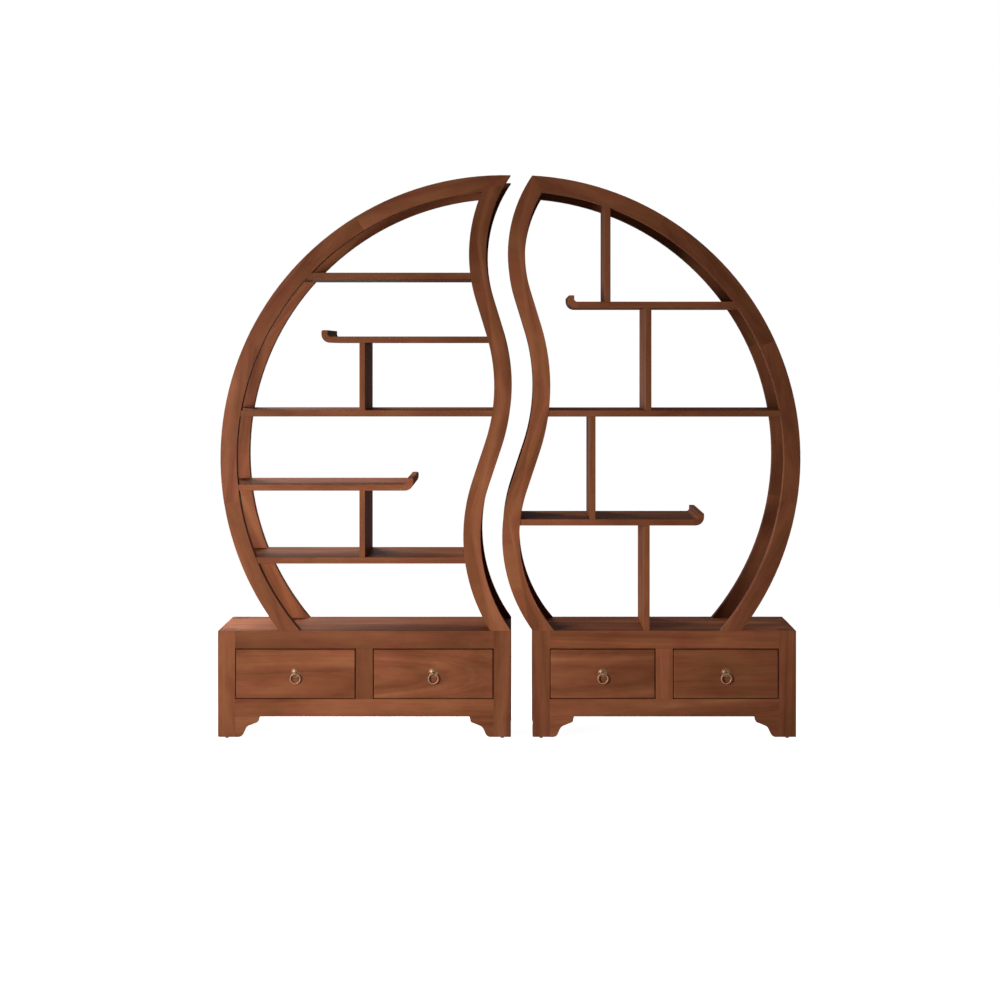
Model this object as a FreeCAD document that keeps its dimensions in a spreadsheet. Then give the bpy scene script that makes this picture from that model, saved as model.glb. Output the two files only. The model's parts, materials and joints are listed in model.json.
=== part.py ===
import FreeCAD, Part
import itertools
import math
import os

import Sketcher

# A pair of half-moon display cabinets: two drawer bases on bracket feet, each carrying one half of a
# round open frame that an S curve divides.
# +X is to the right, -Y is the front, +Z is up. The origin is the bottom centre of the whole pair.
# Lengths are in millimetres and angles in degrees.

SIZES = {
    # the two bases and the gap between them
    "left_base_width": 1017,
    "right_base_width": 915,
    "cabinet_gap": 75,
    "cabinet_depth": 350,
    "base_height": 374,
    "leg_width": 60,
    "rail_thickness": 25,
    "top_rail_height": 62,
    "bottom_rail_height": 61,
    "drawer_opening_height": 175,
    "stile_width": 60,
    "top_board_thickness": 22,
    "panel_thickness": 8,
    "panel_inset": 8,
    "glide_height": 5,
    "glide_radius": 6,
    "glide_inset": 12,
    "bracket_reach": 84,
    # drawer runners
    "runner_ledge": 20,
    "runner_thickness": 15,
    "guide_width": 20,
    "guide_height": 18,
    # drawers
    "drawer_gap": 2.5,
    "drawer_head_gap": 3.8,
    "drawer_slack": 1,
    "drawer_lift": 0.3,
    "drawer_front_thickness": 20,
    "drawer_back_gap": 34,
    "drawer_side_thickness": 12,
    "drawer_bottom_thickness": 6,
    "drawer_bottom_raise": 8,
    "drawer_top_gap": 25,
    # ring pulls
    "pull_rise": 4,
    "plate_radius": 15,
    "plate_rim": 1.6,
    "plate_dome": 4.5,
    "stud_radius": 2.5,
    "eye_radius": 4.5,
    "eye_thickness": 5,
    "eye_reach": 8,
    "eye_drop": 3,
    "ring_radius": 17,
    "ring_wire_radius": 1.9,
    "ring_play": 0.5,
    # the moon frame
    "arc_radius": 982,
    "arc_inset": 9,
    "arc_overhang": 15,
    "arc_width": 56,
    "post_width": 60,
    "member_thickness": 36,
    "lining_thickness": 8,
    "shelf_end_recess": 8,
    "first_joint_angle": 31.5,
    "felloe_angle": 33.9,
    # the moon's proportions, as shares of its radius: how far its centre lies above the base, and the
    # S edge from the base upwards, with its leans from upright
    "centre_rise_share": 0.61,
    "base_lean_angle": 35.8,
    "low_bend_share": 0.568,
    "waist_lean_angle": 18.4,
    "low_straight_share": 0.144,
    "middle_bend_share": 0.681,
    "shoulder_lean_angle": 17.1,
    "high_straight_share": 0.127,
    "top_bend_share": 0.494,
    # shelf tops above the base, and places measured from each base's left side
    "shelf_thickness": 22,
    "shelf_setback": 2,
    "shelf_overrun": 100,
    "left_shelf_one": 1242.5,
    "left_shelf_two": 1021,
    "left_shelf_three": 765,
    "left_shelf_four": 507.5,
    "left_shelf_five": 254.5,
    "left_scroll_two": 359,
    "left_scroll_four": 679,
    "right_shelf_one": 1142,
    "right_shelf_two": 764.5,
    "right_shelf_three": 386.5,
    "right_scroll_one": 123,
    "right_scroll_three": 596,
    # upturned shelf ends
    "scroll_tail": 4,
    "scroll_rise": 22,
    "scroll_bend_radius": 30,
    "scroll_fillet": 10,
    "scroll_round": 6,
    # dividers
    "divider_thickness": 20,
    "left_divider_place": 491,
    "right_divider_one": 251,
    "right_divider_two": 393,
    "right_divider_three": 199,
    "right_divider_four": 387,
}

# The foot bracket's outline below the rail, as shares of its reach from the leg and of its height:
# a lip, a hollow and a toe, each an arc through three points.
LIP_SHARES = ((0.97, 0.14), (0.94, 0.25), (0.85, 0.31))
HOLLOW_SHARES = ((0.56, 0.45), (0.46, 0.54), (0.40, 0.66))
TOE_SHARES = ((0.34, 0.82), (0.27, 0.94), (0.14, 1.0))

QUARTER_TURN = 90
START, END = 1, 2

document = FreeCAD.newDocument("book_cabinet")
sheet = document.addObject("Spreadsheet::Sheet", "Sizes")
for row, (alias, amount) in enumerate(SIZES.items(), start=1):
    sheet.set(f"A{row}", alias)
    sheet.set(f"B{row}", str(amount))
    sheet.setAlias(f"B{row}", alias)
document.recompute()
size = {alias: float(sheet.get(alias)) for alias in SIZES}
nodes = []


def number(text):
    """The value of a sum of products of named sizes, such as base_height - 2 * leg_width."""
    total = 0.0
    for term in text.replace("-", "+ -").split("+"):
        factors = term.split()
        if not factors:
            continue
        product = 1.0
        for factor in factors:
            if factor.startswith("-"):
                product = -product
                factor = factor[1:]
            if factor in size:
                product *= size[factor]
            elif factor not in ("", "*"):
                product *= float(factor)
        total += product
    return total


def minus(text):
    """A sum with its inner signs turned round, to stand after a minus sign."""
    return text.translate(str.maketrans("+-", "-+"))


def formula(text):
    """The same sum as an expression that reads the sheet's cells."""
    words = text.replace("-", " - ").split()
    return " ".join("Sizes." + word if word in size else word for word in words)


def bind(thing, **texts):
    """Binds properties, or the place along x, y or z, to the sheet."""
    for name, text in texts.items():
        path = ".Placement.Base." + name if name in ("x", "y", "z") else name
        thing.setExpression(path, formula(text))
    return thing


def named(kind, label):
    thing = document.addObject(kind, label)
    thing.Label = label
    return thing


def node(thing):
    nodes.append(thing)
    return thing


def box(label, x, y, z, length, width, height):
    block = named("Part::Box", label)
    return bind(block, x=x, y=y, z=z, Length=length, Width=width, Height=height)


def group(label, members):
    """Separate solids that share one node."""
    compound = named("Part::Compound", label)
    compound.Links = members
    return compound


def common(label, base, tool):
    shared = named("Part::Common", label)
    shared.Base = base
    shared.Tool = tool
    return shared


def cut(label, base, tool):
    remainder = named("Part::Cut", label)
    remainder.Base = base
    remainder.Tool = tool
    return remainder


def point(x, z):
    """A point of a front view, where a sketch's own second direction is up."""
    return FreeCAD.Vector(x, z, 0)


def towards(angle):
    return point(math.cos(math.radians(angle)), math.sin(math.radians(angle)))


def line(start, end):
    return Part.LineSegment(start, end), None


def arc(centre, start, end, radius_text):
    """An arc of under half a turn round a centre, and the text of its radius."""
    spread = (start - centre) + (end - centre)
    middle = centre + spread.normalize() * number(radius_text)
    return Part.Arc(start, middle, end), radius_text


def path(corners):
    """Straight lines from corner to corner and back to the first."""
    return [line(a, b) for a, b in zip(corners, corners[1:] + corners[:1])]


def origin_plane(body, role):
    return next(feature for feature in body.Origin.OriginFeatures if feature.Role == role)


def nearest_ends(sketch, index, following):
    """The ends of two curves of a sketch that lie together, as its constraints number them."""
    pairs = itertools.product((START, END), repeat=2)

    def apart(pair):
        return sketch.getPoint(index, pair[0]).distanceToPoint(sketch.getPoint(following, pair[1]))

    return min(pairs, key=apart)


def sketch_on(body, label, role, outline):
    """A closed sketch on one of the body's own planes, its curves joined end to end."""
    sketch = body.newObject("Sketcher::SketchObject", label)
    sketch.AttachmentSupport = (origin_plane(body, role), [""])
    sketch.MapMode = "FlatFace"
    sketch.addGeometry([curve for curve, _ in outline], False)
    for index, (_, radius_text) in enumerate(outline):
        following = (index + 1) % len(outline)
        if following != index:
            end, start = nearest_ends(sketch, index, following)
            sketch.addConstraint(Sketcher.Constraint("Coincident", index, end, following, start))
        if radius_text is not None:
            radius = number(radius_text)
            place = sketch.addConstraint(Sketcher.Constraint("Radius", index, radius))
            sketch.setExpression(f"Constraints[{place}]", formula(radius_text))
    return sketch


def slab(label, outline, y, thickness):
    """A flat member cut to a front-view outline, from y backwards."""
    body = named("PartDesign::Body", label)
    sketch = sketch_on(body, label + "_outline", "XZ_Plane", outline)
    pad = body.newObject("PartDesign::Pad", label + "_pad")
    pad.Profile = sketch
    pad.Reversed = True
    bind(pad, Length=thickness)
    sketch.Visibility = False
    return bind(body, y=y)


# Places that several pieces share
FRONT = "-0.5 * cabinet_depth + 0.5 * eye_reach + 0.5 * eye_radius"
BACK = FRONT + " + cabinet_depth"
LEFT_SIDE = (
    "-0.5 * left_base_width - 0.5 * cabinet_gap - 0.5 * right_base_width - 0.5 * arc_overhang"
)
RIGHT_SIDE = LEFT_SIDE + " + left_base_width + cabinet_gap"
OPENING_TOP = "base_height - top_rail_height"
OPENING_BOTTOM = OPENING_TOP + " - drawer_opening_height"
RAIL_UNDERSIDE = OPENING_BOTTOM + " - bottom_rail_height"
INNER_RADIUS = "arc_radius - arc_width"
CENTRE_RISE = "centre_rise_share * arc_radius"
LOW_BEND = "low_bend_share * arc_radius"
MIDDLE_BEND = "middle_bend_share * arc_radius"
TOP_BEND = "top_bend_share * arc_radius"
DRAWER_LENGTH = "cabinet_depth - panel_inset - panel_thickness - drawer_back_gap"
DRAWER_SIDE_HEIGHT = "drawer_opening_height - drawer_lift - drawer_top_gap"
SCROLL_LENGTH = "shelf_thickness + scroll_fillet + scroll_tail"


def heading(lean_name, direction):
    """The way the S edge runs, going up, where it leans to the left (1) or to the right (-1)."""
    return QUARTER_TURN + direction * size[lean_name]


def meeting(centre, radius, other_centre, other_radius):
    """The left one of the two points where two circles meet."""
    apart = other_centre - centre
    reach = (radius**2 - other_radius**2 + apart.Length**2) / (2 * apart.Length)
    offset = math.sqrt(radius**2 - reach**2)
    along = apart.normalize()
    across = point(-along.y, along.x)
    found = [centre + along * reach + across * offset, centre + along * reach - across * offset]
    return min(found, key=lambda place: place.x)


class Half:
    """The lines of one half of the moon. inward is 1 where the shelves are left of the S edge."""

    def __init__(self, side_text, base_width_name, centre_text, landing_text, inward):
        self.side_text = side_text
        self.width_name = base_width_name
        self.inward = inward
        self.floor = size["base_height"]
        self.centre = point(number(centre_text), self.floor + number(CENTRE_RISE))
        self.waist = waist = heading("waist_lean_angle", -1)
        self.shoulder = shoulder = heading("shoulder_lean_angle", 1)
        start = heading("base_lean_angle", 1)
        low, middle, top = number(LOW_BEND), number(MIDDLE_BEND), number(TOP_BEND)
        landing = point(number(landing_text), self.floor)
        self.low = landing + towards(start - QUARTER_TURN) * low
        straight_start = self.low + towards(waist + QUARTER_TURN) * low
        straight_end = straight_start + towards(waist) * number("low_straight_share * arc_radius")
        self.middle = straight_end + towards(waist + QUARTER_TURN) * middle
        straight_start = self.middle + towards(shoulder - QUARTER_TURN) * middle
        straight_end = straight_start + towards(shoulder) * number("high_straight_share * arc_radius")
        self.top = straight_end + towards(shoulder - QUARTER_TURN) * top

    def bend(self, radius_text, offset, turn):
        """The radius, as text, of a bend of the line that lies offset inside the S edge.

        turn is 1 where the edge turns right on its way up and -1 where it turns left.
        """
        sign = "+" if turn * self.inward > 0 else "-"
        return f"{radius_text} {sign} {offset if sign == '+' else minus(offset)}"

    def on_floor(self, centre, radius, side):
        """Where a circle crosses the top of the base, on its left (-1) or its right (1)."""
        drop = self.floor - centre.y
        return point(centre.x + side * math.sqrt(radius**2 - drop**2), self.floor)

    def s_end(self, offset, ring_text):
        """Where the line that lies offset inside the S edge meets a circle of the moon."""
        radius = number(self.bend(TOP_BEND, offset, 1))
        return meeting(self.top, radius, self.centre, number(ring_text))

    def s_line(self, offset, ring_text):
        """The line that lies offset inside the S edge, from the base up to a circle of the moon."""
        low_text = self.bend(LOW_BEND, offset, 1)
        middle_text = self.bend(MIDDLE_BEND, offset, -1)
        top_text = self.bend(TOP_BEND, offset, 1)
        low, middle, top = number(low_text), number(middle_text), number(top_text)
        stops = [
            self.on_floor(self.low, low, -1),
            self.low + towards(self.waist + QUARTER_TURN) * low,
            self.middle + towards(self.waist - QUARTER_TURN) * middle,
            self.middle + towards(self.shoulder - QUARTER_TURN) * middle,
            self.top + towards(self.shoulder + QUARTER_TURN) * top,
            self.s_end(offset, ring_text),
        ]
        return [
            arc(self.low, stops[0], stops[1], low_text),
            line(stops[1], stops[2]),
            arc(self.middle, stops[2], stops[3], middle_text),
            line(stops[3], stops[4]),
            arc(self.top, stops[4], stops[5], top_text),
        ], stops

    def ring_floor(self, ring_text):
        return self.on_floor(self.centre, number(ring_text), -self.inward)

    def ring_point(self, ring_text, count):
        """Where a circle of the moon crosses the joint between two felloes."""
        turn = size["first_joint_angle"] + count * size["felloe_angle"]
        angle = QUARTER_TURN + self.inward * turn
        return self.centre + towards(angle) * number(ring_text)

    def s_band(self, outer, inner, outer_ring, inner_ring):
        """The outline between two lines of the S, from the base up to two circles of the moon."""
        outer_edges, outer_stops = self.s_line(outer, outer_ring)
        inner_edges, inner_stops = self.s_line(inner, inner_ring)
        top = line(outer_stops[-1], inner_stops[-1])
        floor = line(inner_stops[0], outer_stops[0])
        return outer_edges + [top] + inner_edges[::-1] + [floor]

    def s_lengths(self, outer, inner, ring_text):
        """The outlines of a band between two lines of the S, one for each of its bends and straights."""
        outer_edges, outer_stops = self.s_line(outer, ring_text)
        inner_edges, inner_stops = self.s_line(inner, ring_text)
        seams = [line(a, b) for a, b in zip(outer_stops, inner_stops)]
        seams[-1] = arc(self.centre, outer_stops[-1], inner_stops[-1], ring_text)
        lengths = zip(outer_edges, seams[1:], inner_edges, seams)
        return [list(edges) for edges in lengths]

    def felloes(self, mitre_ring):
        """The outlines of the four felloes of one arc, from its mitred top end to the base."""
        outer, inner = "arc_radius", INNER_RADIUS
        tip = self.s_end("0", outer)
        shoulder = self.s_end("0", mitre_ring)
        inner_corner = self.s_end("post_width", inner)
        joints = [(self.ring_point(outer, i), self.ring_point(inner, i)) for i in range(3)]
        first = [arc(self.centre, joints[0][0], tip, outer)]
        if mitre_ring != outer:
            first.append(arc(self.top, tip, shoulder, TOP_BEND))
        first.append(line(shoulder, inner_corner))
        first.append(arc(self.centre, inner_corner, joints[0][1], inner))
        first.append(line(joints[0][1], joints[0][0]))
        outlines = [first]
        ends = joints + [(self.ring_floor(outer), self.ring_floor(inner))]
        for upper, lower in zip(ends, ends[1:]):
            outlines.append([
                arc(self.centre, upper[0], lower[0], outer),
                line(lower[0], lower[1]),
                arc(self.centre, lower[1], upper[1], inner),
                line(upper[1], upper[0]),
            ])
        return outlines

    def interior(self, ring_text, offset):
        """The outline of the space that shelves may fill, from the moon's circle to a line of the S."""
        edges, stops = self.s_line(offset, ring_text)
        ring_floor = self.ring_floor(ring_text)
        ring = arc(self.centre, ring_floor, stops[-1], ring_text)
        return [ring] + edges[::-1] + [line(stops[0], ring_floor)]


LEFT_CENTRE = LEFT_SIDE + " + arc_inset + arc_radius"
RIGHT_CENTRE = RIGHT_SIDE + " + right_base_width + arc_overhang - arc_radius"
left_half = Half(LEFT_SIDE, "left_base_width", LEFT_CENTRE, LEFT_SIDE + " + left_base_width", 1)
right_half = Half(RIGHT_SIDE, "right_base_width", RIGHT_CENTRE, RIGHT_SIDE, -1)


def corners(side, width_name, across, back):
    """The x and y, as text, of a square of that width in each corner of the base."""
    far = f"{side} + {width_name} - {across}"
    return [(x, y) for x in (side, far) for y in (FRONT, f"{BACK} - {back}")]


def rails(label, side, width_name, z, height):
    """Four rails between the legs: front, back and the two sides."""
    inner = side + " + leg_width"
    length = f"{width_name} - 2 * leg_width"
    run = "cabinet_depth - 2 * leg_width"
    far = f"{side} + {width_name} - rail_thickness"
    front = box(label + "_front", inner, FRONT, z, length, "rail_thickness", height)
    back = box(label + "_back", inner, BACK + " - rail_thickness", z, length, "rail_thickness", height)
    y = FRONT + " + leg_width"
    left = box(label + "_left", side, y, z, "rail_thickness", run, height)
    right = box(label + "_right", far, y, z, "rail_thickness", run, height)
    return node(group(label, [front, back, left, right]))


def notched_board(label, side, width_name, z, thickness, legs):
    """A board between the rails, cut round the legs."""
    blank = box(
        label + "_blank",
        side + " + rail_thickness",
        FRONT + " + rail_thickness",
        z,
        f"{width_name} - 2 * rail_thickness",
        "cabinet_depth - 2 * rail_thickness",
        thickness,
    )
    return cut(label, blank, legs)


def bracket(label, leg_face, direction, y):
    """A foot bracket that reaches from a leg's face to the right (1) or to the left (-1)."""
    start = number(leg_face)
    top = number(RAIL_UNDERSIDE)
    height = top - size["glide_height"]

    def spot(share):
        return point(start + direction * share[0] * size["bracket_reach"], top - share[1] * height)

    outline = [line(spot((0, 0)), spot((1, 0)))]
    last = spot((1, 0))
    for shares in (LIP_SHARES, HOLLOW_SHARES, TOE_SHARES):
        first, middle, end = (spot(share) for share in shares)
        outline.append(line(last, first))
        outline.append((Part.Arc(first, middle, end), None))
        last = end
    heel = spot((0, 1))
    outline.append(line(last, heel))
    outline.append(line(heel, spot((0, 0))))
    return slab(label, outline, y, "rail_thickness")


def outer_runner(label, face, direction):
    """An L-shaped runner beside a leg's inner face, with its ledge under the drawer's side."""
    edge = number(face)
    ledge_bottom = number(OPENING_BOTTOM + " - runner_thickness")
    ledge_top = number(OPENING_BOTTOM)
    guide_top = ledge_top + size["guide_height"]
    back = edge - direction * (size["leg_width"] - size["rail_thickness"])
    guide = edge - direction * size["guide_width"]
    tip = edge + direction * size["runner_ledge"]
    outline = path([
        point(back, ledge_bottom),
        point(tip, ledge_bottom),
        point(tip, ledge_top),
        point(edge, ledge_top),
        point(edge, guide_top),
        point(guide, guide_top),
        point(guide, ledge_top),
        point(back, ledge_top),
    ])
    return slab(label, outline, FRONT + " + leg_width", "cabinet_depth - 2 * leg_width")


def centre_runner(label, stile_left):
    """A runner behind the stile, with a ledge for each of the two drawers beside it."""
    left = number(stile_left)
    right = left + size["stile_width"]
    ledge_bottom = number(OPENING_BOTTOM + " - runner_thickness")
    ledge_top = number(OPENING_BOTTOM)
    guide_top = ledge_top + size["guide_height"]
    outline = path([
        point(left - size["runner_ledge"], ledge_bottom),
        point(right + size["runner_ledge"], ledge_bottom),
        point(right + size["runner_ledge"], ledge_top),
        point(right, ledge_top),
        point(right, guide_top),
        point(left, guide_top),
        point(left, ledge_top),
        point(left - size["runner_ledge"], ledge_top),
    ])
    return slab(label, outline, FRONT + " + rail_thickness", "cabinet_depth - 2 * rail_thickness")


def build_base(name, side, width_name):
    """Legs, rails, brackets, stile, boards, panels, runners and glides of one base."""
    leg_height = "base_height - glide_height"
    legs = [
        box(f"{name}_leg_{i}", x, y, "glide_height", "leg_width", "leg_width", leg_height)
        for i, (x, y) in enumerate(corners(side, width_name, "leg_width", "leg_width"), start=1)
    ]
    legs = node(group(f"{name}_legs", legs))
    rails(f"{name}_top_rails", side, width_name, OPENING_TOP, "top_rail_height")
    rails(f"{name}_bottom_rails", side, width_name, RAIL_UNDERSIDE, "bottom_rail_height")

    near_face = side + " + leg_width"
    far_face = f"{side} + {width_name} - leg_width"
    rear = BACK + " - rail_thickness"
    node(group(f"{name}_brackets", [
        bracket(f"{name}_bracket_front_left", near_face, 1, FRONT),
        bracket(f"{name}_bracket_front_right", far_face, -1, FRONT),
        bracket(f"{name}_bracket_back_left", near_face, 1, rear),
        bracket(f"{name}_bracket_back_right", far_face, -1, rear),
    ]))

    stile_left = f"{side} + 0.5 * {width_name} - 0.5 * stile_width"
    node(box(
        f"{name}_centre_stile", stile_left, FRONT, OPENING_BOTTOM,
        "stile_width", "rail_thickness", "drawer_opening_height",
    ))
    board_bottom = "base_height - top_board_thickness"
    node(notched_board(
        f"{name}_top_board", side, width_name, board_bottom, "top_board_thickness", legs,
    ))

    between_legs = "cabinet_depth - 2 * leg_width"
    far_panel = f"{side} + {width_name} - panel_inset - panel_thickness"
    left_panel = box(
        f"{name}_left_panel", side + " + panel_inset", FRONT + " + leg_width", OPENING_BOTTOM,
        "panel_thickness", between_legs, "drawer_opening_height",
    )
    right_panel = box(
        f"{name}_right_panel", far_panel, FRONT + " + leg_width", OPENING_BOTTOM,
        "panel_thickness", between_legs, "drawer_opening_height",
    )
    back_panel = box(
        f"{name}_back_panel", near_face, BACK + " - panel_inset - panel_thickness", OPENING_BOTTOM,
        f"{width_name} - 2 * leg_width", "panel_thickness", "drawer_opening_height",
    )
    dust_bottom = OPENING_BOTTOM + " - runner_thickness - panel_thickness"
    dust_board = notched_board(
        f"{name}_dust_board", side, width_name, dust_bottom, "panel_thickness", legs,
    )
    node(group(f"{name}_carcass_panels", [left_panel, right_panel, back_panel, dust_board]))

    node(group(f"{name}_drawer_runners", [
        outer_runner(f"{name}_runner_left", near_face, 1),
        centre_runner(f"{name}_runner_centre", stile_left),
        outer_runner(f"{name}_runner_right", far_face, -1),
    ]))

    glides = []
    centres = corners(side, width_name, "leg_width", "2 * glide_inset")
    for i, (x, y) in enumerate(centres, start=1):
        glide = named("Part::Cylinder", f"{name}_glide_{i}")
        x, y = x + " + 0.5 * leg_width", y + " + glide_inset"
        glides.append(bind(glide, x=x, y=y, z="0", Radius="glide_radius", Height="glide_height"))
    node(group(f"{name}_glides", glides))


def build_frame(name, half, mitre_ring):
    """Front and back arcs and posts, and the lining between the posts. Returns what trims a shelf."""
    rear = BACK + " - member_thickness"
    trims = []
    for place, y in (("front", FRONT), ("back", rear)):
        felloes = [
            slab(f"{name}_{place}_felloe_{i}", outline, y, "member_thickness")
            for i, outline in enumerate(half.felloes(mitre_ring), start=1)
        ]
        trims.append(node(group(f"{name}_arc_{place}", felloes)))
        outline = half.s_band("0", "post_width", mitre_ring, INNER_RADIUS)
        trims.append(node(slab(f"{name}_post_{place}", outline, y, "member_thickness")))

    outer_face = "0.5 * post_width - 0.5 * lining_thickness"
    inner_face = "0.5 * post_width + 0.5 * lining_thickness"
    lining_top = "arc_radius - 0.5 * arc_width"
    between = "cabinet_depth - 2 * member_thickness"
    node(group(f"{name}_post_lining", [
        slab(f"{name}_lining_{i}", outline, FRONT + " + member_thickness", between)
        for i, outline in enumerate(half.s_lengths(outer_face, inner_face, lining_top), start=1)
    ]))
    space = slab(
        f"{name}_interior", half.interior("arc_radius - shelf_end_recess", inner_face), FRONT,
        "cabinet_depth",
    )
    return space, group(f"{name}_frame_members", trims)


def fitted(label, blank, space, members):
    """A blank trimmed to the space inside the frame and then to the front and back members."""
    return cut(label, common(label + "_inside", blank, space), members)


def scroll(label, end, top, direction):
    """An upturned shelf end. It runs from the seam to an end at x, and points left (-1) or right."""
    thickness = size["shelf_thickness"]
    bend, fillet = size["scroll_bend_radius"], size["scroll_fillet"]
    rounding = size["scroll_round"]
    tip, base = number(end), number(top)
    crown = base + size["scroll_rise"]

    def spot(inwards, z):
        return point(tip - direction * inwards, z)

    underside = base - thickness
    seam = number(SCROLL_LENGTH)
    outline = [
        line(spot(seam, underside), spot(bend, underside)),
        arc(spot(bend, underside + bend), spot(bend, underside), spot(0, underside + bend),
            "scroll_bend_radius"),
        line(spot(0, underside + bend), spot(0, crown - rounding)),
        arc(spot(rounding, crown - rounding), spot(0, crown - rounding), spot(rounding, crown),
            "scroll_round"),
        line(spot(rounding, crown), spot(thickness, crown)),
        line(spot(thickness, crown), spot(thickness, base + fillet)),
        arc(spot(thickness + fillet, base + fillet), spot(thickness, base + fillet),
            spot(thickness + fillet, base), "scroll_fillet"),
        line(spot(thickness + fillet, base), spot(seam, base)),
        line(spot(seam, base), spot(seam, underside)),
    ]
    return slab(label, outline, FRONT + " + shelf_setback", "cabinet_depth - 2 * shelf_setback")


def shelf(label, half, rise, space, members, scroll_place=None, direction=0):
    """A shelf across the half, or one that stops at an upturned end pointing in a direction.

    Its blank runs past the frame on both sides before it is trimmed.
    """
    x = half.side_text + " - shelf_overrun"
    length = half.width_name + " + 2 * shelf_overrun"
    if direction < 0:
        x = f"{half.side_text} + {scroll_place} + {SCROLL_LENGTH}"
        length = f"{half.width_name} + shelf_overrun - {scroll_place} - {minus(SCROLL_LENGTH)}"
    if direction > 0:
        length = f"shelf_overrun + {scroll_place} - {minus(SCROLL_LENGTH)}"
    blank = box(
        label + "_blank", x, FRONT + " + shelf_setback",
        f"base_height + {rise} - shelf_thickness",
        length, "cabinet_depth - 2 * shelf_setback", "shelf_thickness",
    )
    if not direction:
        return node(fitted(label, blank, space, members))
    board = fitted(label + "_board", blank, space, members)
    end = f"{half.side_text} + {scroll_place}"
    block = scroll(label + "_scroll", end, f"base_height + {rise}", direction)
    return node(group(label, [board, block]))


def divider_blank(label, half, place, bottom, height):
    return box(
        label, f"{half.side_text} + {place}", FRONT + " + shelf_setback", bottom,
        "divider_thickness", "cabinet_depth - 2 * shelf_setback", height,
    )


def divider(label, half, place, lower, upper):
    """An upright between the top of one shelf and the underside of another."""
    bottom = "base_height + " + lower
    height = f"{upper} - shelf_thickness - {lower}"
    return node(divider_blank(label, half, place, bottom, height))


def pull_plate(label, x, z):
    """A domed round plate with a stud and a drilled eye that holds the ring."""
    body = named("PartDesign::Body", label)
    radius, rim, dome = size["plate_radius"], size["plate_rim"], size["plate_dome"]
    stud, reach, drop = size["stud_radius"], size["eye_reach"], size["eye_drop"]
    crown = point((radius + stud) / 2, -(rim + 2 * dome) / 3)
    profile = [
        line(point(0, 0), point(radius, 0)),
        line(point(radius, 0), point(radius, -rim)),
        (Part.Arc(point(radius, -rim), crown, point(stud, -dome)), None),
        line(point(stud, -dome), point(stud, -reach)),
        line(point(stud, -reach), point(0, -reach)),
        line(point(0, -reach), point(0, 0)),
    ]
    turned = sketch_on(body, label + "_profile", "XY_Plane", profile)
    plate = body.newObject("PartDesign::Revolution", label + "_turned")
    plate.Profile = turned
    plate.ReferenceAxis = (turned, ["V_Axis"])
    plate.Angle = 4 * QUARTER_TURN
    pivot = point(-reach, -drop)
    for feature, disc_text, length_text in (
        ("PartDesign::Pad", "eye_radius", "eye_thickness"),
        ("PartDesign::Pocket", "ring_wire_radius + ring_play", "2 * eye_thickness"),
    ):
        kind = feature.split("::")[1].lower()
        circle = Part.Circle(pivot, FreeCAD.Vector(0, 0, 1), number(disc_text))
        disc = sketch_on(body, f"{label}_{kind}_circle", "YZ_Plane", [(circle, disc_text)])
        step = body.newObject(feature, f"{label}_{kind}")
        step.Profile = disc
        step.Midplane = True
        bind(step, Length=length_text)
    return node(bind(body, x=x, y=FRONT, z=z))


def build_drawer(number_in_row, opening_left, opening_width):
    """One drawer: front, box, pull plate and ring."""
    name = f"drawer_{number_in_row}"
    node(box(
        name + "_front", opening_left + " + drawer_gap", FRONT, OPENING_BOTTOM + " + drawer_gap",
        opening_width + " - 2 * drawer_gap", "drawer_front_thickness",
        "drawer_opening_height - drawer_gap - drawer_head_gap",
    ))
    left = opening_left + " + drawer_slack"
    inner_left = left + " + drawer_side_thickness"
    right = f"{opening_left} + {opening_width} - drawer_slack - drawer_side_thickness"
    inner_width = f"{opening_width} - 2 * drawer_slack - 2 * drawer_side_thickness"
    bottom = OPENING_BOTTOM + " + drawer_lift"
    y = FRONT + " + drawer_front_thickness"
    run = DRAWER_LENGTH + " - drawer_front_thickness"
    node(group(name + "_box", [
        box(name + "_left_side", left, y, bottom, "drawer_side_thickness", run, DRAWER_SIDE_HEIGHT),
        box(name + "_right_side", right, y, bottom, "drawer_side_thickness", run, DRAWER_SIDE_HEIGHT),
        box(name + "_back", inner_left, f"{FRONT} + {DRAWER_LENGTH} - drawer_side_thickness", bottom,
            inner_width, "drawer_side_thickness", DRAWER_SIDE_HEIGHT),
        box(name + "_bottom", inner_left, y, bottom + " + drawer_bottom_raise",
            inner_width, run + " - drawer_side_thickness", "drawer_bottom_thickness"),
    ]))
    x = f"{opening_left} + 0.5 * {opening_width.replace('- ', '- 0.5 * ')}"
    z = OPENING_BOTTOM + " + 0.5 * drawer_opening_height + pull_rise"
    pull_plate(name + "_plate", x, z)
    ring = node(named("Part::Torus", name + "_ring"))
    ring.Placement.Rotation = FreeCAD.Rotation(FreeCAD.Vector(1, 0, 0), QUARTER_TURN)
    bind(ring, x=x, y=FRONT + " - eye_reach", z=z + " - eye_drop - ring_radius",
         Radius1="ring_radius", Radius2="ring_wire_radius")


build_base("left", LEFT_SIDE, "left_base_width")
build_base("right", RIGHT_SIDE, "right_base_width")

# The left post is mitred at half the arc's width, the right one across the whole corner.
left_space, left_members = build_frame("left", left_half, "arc_radius - 0.5 * arc_width")
right_space, right_members = build_frame("right", right_half, "arc_radius")

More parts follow.
